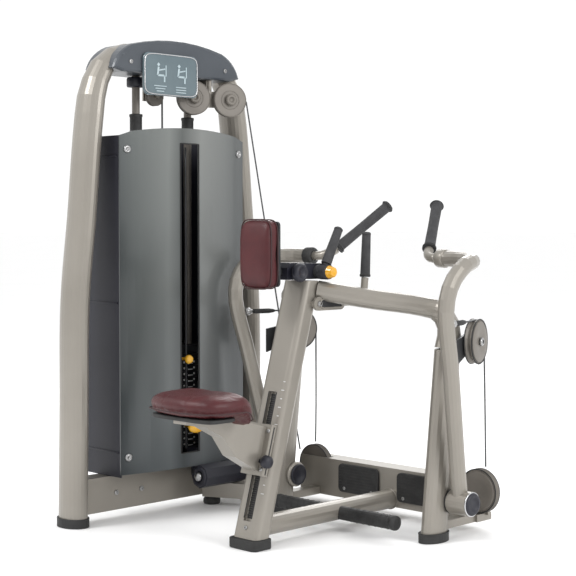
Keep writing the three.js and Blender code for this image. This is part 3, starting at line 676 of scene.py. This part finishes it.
# ---- levers, wheels, hubs ----------------------------------------------
def levers():
    wy = math.radians(WHEEL_YAW_DEG)
    for s, n in SIDES:
        lever = n + "_lever"
        out = X * s

        def q(x, y, z, s=s):
            return P(s * x, y, z)
        cap = [(0.0335, 0), (0.0335, 0.003), (0.030, 0.009), (0.020, 0.0105), (0.0185, 0.0075), (0, 0.0085)]
        c = q(421.3, 475, 115)
        lathe("hub_cap_" + n, c, out, cap, "dark_cover", lever, 40)
        lathe("hub_rim_" + n, q(421.2, 475, 115), out, [(0.0345, 0), (0.0358, 0.001), (0.0358, 0.0028),
              (0.0345, 0.0036)], "bright_steel", lever, 40)
        lathe("inner_rim_" + n, q(276, 475, 115), -out, [(0.030, 0.0), (0.034, 0.001), (0.034, 0.004),
              (0.0305, 0.006), (0.026, 0.0062), (0.0255, 0.003), (0.0, 0.0045)], "dark_cover", "frame", 40)
        lathe("inner_boss_" + n, q(289.2, 475, 115), -out, [(0.040, 0.0), (0.040, 0.008), (0.037, 0.0115),
              (0.0282, 0.012)], "frame_paint", "frame", 40)
        lathe("hub_ring_" + n, q(347.6, 475, 115), out, [(0.034, 0), (0.0355, 0.0008), (0.0355, 0.0042),
              (0.034, 0.005)], "rubber", "frame", 40)
        # collar where the grip's bar enters the arm
        d = (q(256, 526.2, 820.2) - q(290, 524.6, 819.5)).normalized()
        lathe("arm_collar_" + n, q(286, 525, 819.6), d, [(0.0245, 0), (0.0268, 0.001), (0.0275, 0.004),
              (0.0275, 0.026), (0.0262, 0.030), (0.015, 0.0325)], "rubber" if s < 0 else "frame_paint",
                      lever, 36)
        # polished sleeve over the elbow
        el = [q(*v) for v in ((252, 526.4, 820.2), (238, 527.6, 820.6), (222, 530, 822), (209, 537, 827),
                              (199, 547.4, 832.6), (193, 556, 838.4), (190.2, 561.4, 841.6))]
        tube("elbow_sleeve_" + n, el, 0.0146, "frame_paint", lever, 24)
        # grip end discs and seams
        a, b = q(188.6, 563.8, 843.5), q(100, 712, 981)
        g = (b - a).normalized()
        L = (b - a).length
        for k, (at, r) in enumerate(((0.0052, 0.0203), (0.0105, 0.0203), (L - 0.0045, 0.0208))):
            side = g.orthogonal().normalized()
            up = g.cross(side)
            pts = [a + g * at + (side * math.cos(t) + up * math.sin(t)) * r
                   for t in (2 * math.pi * j / 40 for j in range(40))]
            tube("grip_bead_%s_%d" % (n, k), pts, 0.0013, "rubber", lever, 8, closed=True)
        lathe("grip_cap_" + n, a + g * (L + 0.0016), g, [(0.017, -0.001), (0.0165, 0.002), (0.012, 0.0035),
              (0.0, 0.004)], "rubber", lever, 32)
        # cable end: lug on the lever, black sleeve, short run of cable up to the wheel
        ax = Vector((s * math.cos(wy), math.sin(wy), 0))
        run = Vector((-s * math.sin(wy), math.cos(wy), 0))
        wc = q(365, 565, 577)
        top = wc + Z * (0.066 - 0.0035)
        lathe("cable_lug_" + n, top - run * 0.198, run, [(0.009, 0), (0.0125, 0.002), (0.0125, 0.018),
              (0.0085, 0.022), (0.006, 0.030)], "bolt", lever, 24)
        lathe("cable_sleeve_" + n, top - run * 0.166, run, [(0.0058, 0), (0.0078, 0.002), (0.0078, 0.058),
              (0.0056, 0.074), (0.0034, 0.080)], "rubber", lever, 24)
        arc = [top - run * (0.088 - 0.0176 * k) for k in range(5)]
        arc += [wc + (run * math.sin(t) + Z * math.cos(t)) * 0.0633
                for t in (math.radians(90) * k / 12 for k in range(0, 13))]
        cab = tube("wheel_cable_" + n, arc, 0.0027, "cable", None, 10)
        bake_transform(cab)
        # wheel: black tyre edges, cap and lightening recess
        rings = bmesh.new()
        for off in (-0.0115, 0.0115):
            pts = [wc + ax * off + (run * math.cos(t) + Z * math.sin(t)) * 0.0652
                   for t in (2 * math.pi * j / 60 for j in range(60))]
            tube_into(rings, pts, 0.0020, 8, True)
        finish_mesh("wheel_tyre_" + n, rings, "rubber", n + "_wheel")
        lathe("wheel_disc_" + n, wc + ax * 0.0121, ax, [(0.0108, 0.0), (0.060, 0.0), (0.0615, 0.0008),
                (0.058, 0.0026),
              (0.034, 0.0034), (0.024, 0.0016), (0.0108, 0.0016)], "pulley", n + "_wheel", 48)
        bolts("wheel_bolt_" + n, [(wc + ax * 0.0168, ax)], "frame", r=0.0125, h=0.007)
        # low pulley: tyre edges, and the face ring on the right one
        pc = P(s * 338, 625, 124)
        rings = bmesh.new()
        for off in (-0.0095, 0.0095):
            pts = [pc + Y * off + (X * math.cos(t) + Z * math.sin(t)) * 0.0652
                   for t in (2 * math.pi * j / 60 for j in range(60))]
            tube_into(rings, pts, 0.0018, 8, True)
        finish_mesh("low_pulley_tyre_" + n, rings, "rubber", n + "_low_pulley")
        if s > 0:
            lathe("low_pulley_disc", pc - Y * 0.0101, -Y, [(0.0108, 0.0), (0.059, 0.0), (0.0605,
                    0.0006), (0.057, 0.0022),
                  (0.032, 0.0026), (0.024, 0.001), (0.0108, 0.001)], "pulley", "right_low_pulley", 48)
        # bead round the leg's foot
        c = P(s * 318, 431, 25.5)
        pts = [c + Vector((0.0338 * math.cos(t), 0.0548 * math.sin(t), 0))
               for t in (2 * math.pi * j / 48 for j in range(48))]
        tube("leg_foot_bead_" + n, pts, 0.0022, "rubber", "frame", 8, closed=True)


levers()


# ---- column, beam, pads ------------------------------------------------
def column():
    lean = COLUMN_LEAN
    k = math.hypot(lean, 1)
    along = Vector((0, lean / k, 1 / k))
    front = Vector((0, -1 / k, lean / k))

    def face(x, z, out=0.0):
        return P(x, -8 + lean * z, z) + front * (0.029 + out)
    # position marks down the right front edge, blank
    bm = bmesh.new()
    for i in range(14):
        c = face(38.5, 150 + 24 * i, 0.0003)
        w = 0.0035 if i % 2 else 0.0055
        vs = [c + X * a * w + along * b * 0.0012 for a, b in ((-1, -1), (1, -1), (1, 1), (-1, 1))]
        lo4 = [bm.verts.new(v - front * 0.0003) for v in vs]
        hi4 = [bm.verts.new(v + front * 0.0004) for v in vs]
        bm.faces.new(lo4[::-1])
        bm.faces.new(hi4)
        for j in range(4):
            m = (j + 1) % 4
            bm.faces.new((lo4[j], lo4[m], hi4[m], hi4[j]))
    finish_mesh("height_marks", bm, "mark", "frame", smooth=False)
    # dark bed along the slot's floor, its dark colour painted shade in the slot, with a fine rack of teeth
    bm = bmesh.new()
    for i in range(58):
        z = 78 + 6 * i
        k2 = 0.0012 if i % 2 else 0.0003
        vs = [face(a * 14.2, z + b, -0.0116 + d) for d in (0, k2) for a, b in ((-1, 0), (1, 0), (1,
                5.6), (-1, 5.6))]
        v8 = [bm.verts.new(v) for v in vs]
        bm.faces.new(v8[:4][::-1])
        bm.faces.new(v8[4:])
        for j in range(4):
            m = (j + 1) % 4
            bm.faces.new((v8[j], v8[m], v8[m + 4], v8[j + 4]))
    # the dark rubber here is painted shade in the slot
    finish_mesh("slot_shade_rack", bm, "rubber", "frame", smooth=False)
    # slot liner rails
    for s in (-1, 1):
        tube("slot_liner_%s" % ("a" if s < 0 else "b"), [face(s * 15.6, z, 0.0002) for z in range(78,
                432, 16)],
             0.0014, "rubber", "frame", 8)
    bolts("column_screw", [(face(0, 52, -0.0002), front)], "frame", r=0.006)
    # latch knob, screws and edge guards, which ride with the seat
    c = face(0, 236, 0.0225)
    lathe("seat_latch_knob", c + X * 0.026, X, [(0.006, 0), (0.006, 0.012), (0.0165, 0.016), (0.019,
            0.022), (0.0175, 0.036),
          (0.010, 0.041), (0, 0.042)], "dark_cover", "seat", 28)
    bolts("carriage_screws", [(face(x, z, 0.0222), front) for x in (-36, 36) for z in (214, 320)],
            "seat", r=0.006)
    for s in (-1, 1):
        pts = [face(s * 45.2, 200 + 11 * i, 0.012) for i in range(13)]
        tube("carriage_guard_%s" % ("a" if s < 0 else "b"), pts, 0.0024, "rubber", "seat", 8)
    # dark round knob on the slide housing, behind the pad
    lathe("pad_lock_knob", P(34.4, 142, 782), X, [(0.010, 0), (0.010, 0.008), (0.024, 0.011), (0.027,
            0.016), (0.027, 0.026),
          (0.022, 0.033), (0.016, 0.0335), (0.015, 0.030), (0, 0.030)], "dark_cover", "frame", 36)
    # link plate: stadium recess, its flat dark floor painted shade in the recess, and its screws
    pts = []
    for i in range(40):
        t = 2 * math.pi * i / 40
        off = 38 if math.cos(t) > 0 else -38
        pts.append(P(65.8, 268 + off + 12.5 * math.cos(t), 690 + 12.5 * math.sin(t)))
    tube("link_recess_rim", pts, 0.0022, "frame_paint", "frame", 8, closed=True)
    bm = bmesh.new()
    a = [bm.verts.new(p + X * 0.0004) for p in pts]
    b = [bm.verts.new(p - X * 0.0006) for p in pts]
    bm.faces.new(a)
    bm.faces.new(b[::-1])
    for i in range(40):
        m = (i + 1) % 40
        bm.faces.new((a[i], a[m], b[m], b[i]))
    # flat dark sheet: painted shade in the recess
    finish_mesh("link_recess", bm, "steel", "frame", smooth=False)
    bolts("link_screws", [(P(65.2, 214, 690), X)], "frame", r=0.0085, h=0.006)
    # adjuster: ribs on the barrel, a cap on its face, a tip on the lever
    rings = bmesh.new()
    for x in (50, 56, 62, 68, 74):
        pts = [P(x, 238, 782) + (Y * math.cos(t) + Z * math.sin(t)) * 0.0212
               for t in (2 * math.pi * j / 48 for j in range(48))]
        tube_into(rings, pts, 0.0009, 6, True)
    finish_mesh("adjuster_ribs", rings, "dark_cover", "adjuster")
    lathe("adjuster_cap_face", P(98, 238, 782), X, [(0.0135, -0.001), (0.0135, 0.0015), (0.011, 0.003),
            (0.0055, 0.0018),
          (0, 0.0018)], "yellow_plastic", "adjuster", 32)
    d = (P(60, 300, 905) - P(60, 247, 806)).normalized()
    lathe("lever_tip", P(60, 300, 905), d, [(0.0135, -0.002), (0.0132, 0.003), (0.009, 0.0065), (0,
            0.0075)], "grip_foam",
          "adjuster", 28)
    lathe("assist_tip", P(80, 402, 892), Vector((0, 0.04, 1)), [(0.0135, -0.002), (0.0132, 0.003),
            (0.009, 0.0062),
          (0, 0.007)], "grip_foam", "frame", 28)
    lathe("assist_ring", P(80, 396.2, 766), Vector((0, 0.04, 1)), [(0.0145, -0.002), (0.0162, 0.0),
            (0.0162, 0.005),
          (0.0148, 0.007)], "rubber", "frame", 28)


column()


def floor_parts():
    for x, n in ((122, "right"), (-126, "left")):
        bm = bmesh.new()
        for i in range(9):
            z = 62 + 9.2 * i
            half = 0.078 if 1 < i < 8 else 0.071
            c = P(x, 595.2, z)
            tube_into(bm, [c + X * half * k / 6 for k in range(-6, 7)], 0.0011, 6)
        finish_mesh("foot_pad_ribs_" + n, bm, "rubber", "frame")
        bolts("foot_pad_screws_" + n, [(P(x + d, 595.2, 66), -Y) for d in (-58, 58)], "frame",
                r=0.0055, h=0.003)
    for s, n in SIDES:
        lathe("peg_cap_" + n, P(s * 239.6, 352, 52), X * s, [(0.0216, -0.012), (0.0224, -0.002),
                (0.021, 0.0035),
              (0.012, 0.0055), (0, 0.006)], "rubber", "frame", 32)
        bm = bmesh.new()
        for i in range(7):
            xx = s * (70 + 24 * i)
            pts = [P(xx, 352, 52) + (Y * math.cos(t) + Z * math.sin(t)) * 0.0209
                   for t in (2 * math.pi * j / 32 for j in range(32))]
            tube_into(bm, pts, 0.0009, 6, True)
        finish_mesh("peg_ribs_" + n, bm, "rubber", "frame")
    # end plug of the cross beam, weld bead round the floor tube
    soft_box("beam_plug", P(-390.6, 639, 93), (0.004, 0.062, 0.114), 0.0018, "rubber", "frame")
    bm = bmesh.new()
    pts = [P(0, 604, 56) + Vector((0.0335 * math.cos(t), -0.0005, 0.0305 * math.sin(t)))
           for t in (2 * math.pi * j / 48 for j in range(48))]
    tube_into(bm, pts, 0.0028, 8, True)
    finish_mesh("weld_floor_tube", bm, "frame_paint", "frame")


floor_parts()

# The stack's cable shortens towards the head as the plates rise.
run = tube("stack_cable_run", [P(-606, 188, 564.8 + 765.0 * k / 40) for k in range(41)], 0.0032,
        "cable", "frame", 12)
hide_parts("stack_cable")
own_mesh(run)

# ---- floor, light ------------------------------------------------------
bm = bmesh.new()
bmesh.ops.create_grid(bm, x_segments=2, y_segments=2, size=150)
floor = finish_mesh("floor", bm, "mark", None, smooth=False)
floor.location.z = -0.0006
fm = material("floor_white", (0.93, 0.93, 0.93), (0.945, 0.945, 0.945), 0.7, 0.0, 1.0, spec=0.2)
floor.data.materials.clear()
floor.data.materials.append(fm)


def area(name, at, aim, size, power, color=(1, 1, 1)):
    li = bpy.data.lights.new(name, "AREA")
    li.size = size
    li.energy = power
    li.color = color
    o = bpy.data.objects.new(name, li)
    scn.collection.objects.link(o)
    o.location = at
    o.rotation_euler = (Vector(aim) - Vector(at)).to_track_quat("-Z", "Y").to_euler()
    return o


area("key", (-1.6, -3.9, 4.4), (0, 0, 0.7), 1.6, 130)
area("fill", (4.8, 0.5, 3.0), (0, 0, 0.8), 2.2, 120)
area("rim", (-2.5, 3.8, 3.2), (0, 0, 0.9), 2.5, 80)
w = bpy.data.worlds.new("white")
scn.world = w
w.use_nodes = True
w.node_tree.nodes["Background"].inputs[0].default_value = (1, 1, 1, 1)
w.node_tree.nodes["Background"].inputs[1].default_value = 1.06
scn.view_settings.view_transform = "Standard"
scn.view_settings.look = "None"
scn.view_settings.exposure = 0.0
scn.render.film_transparent = False
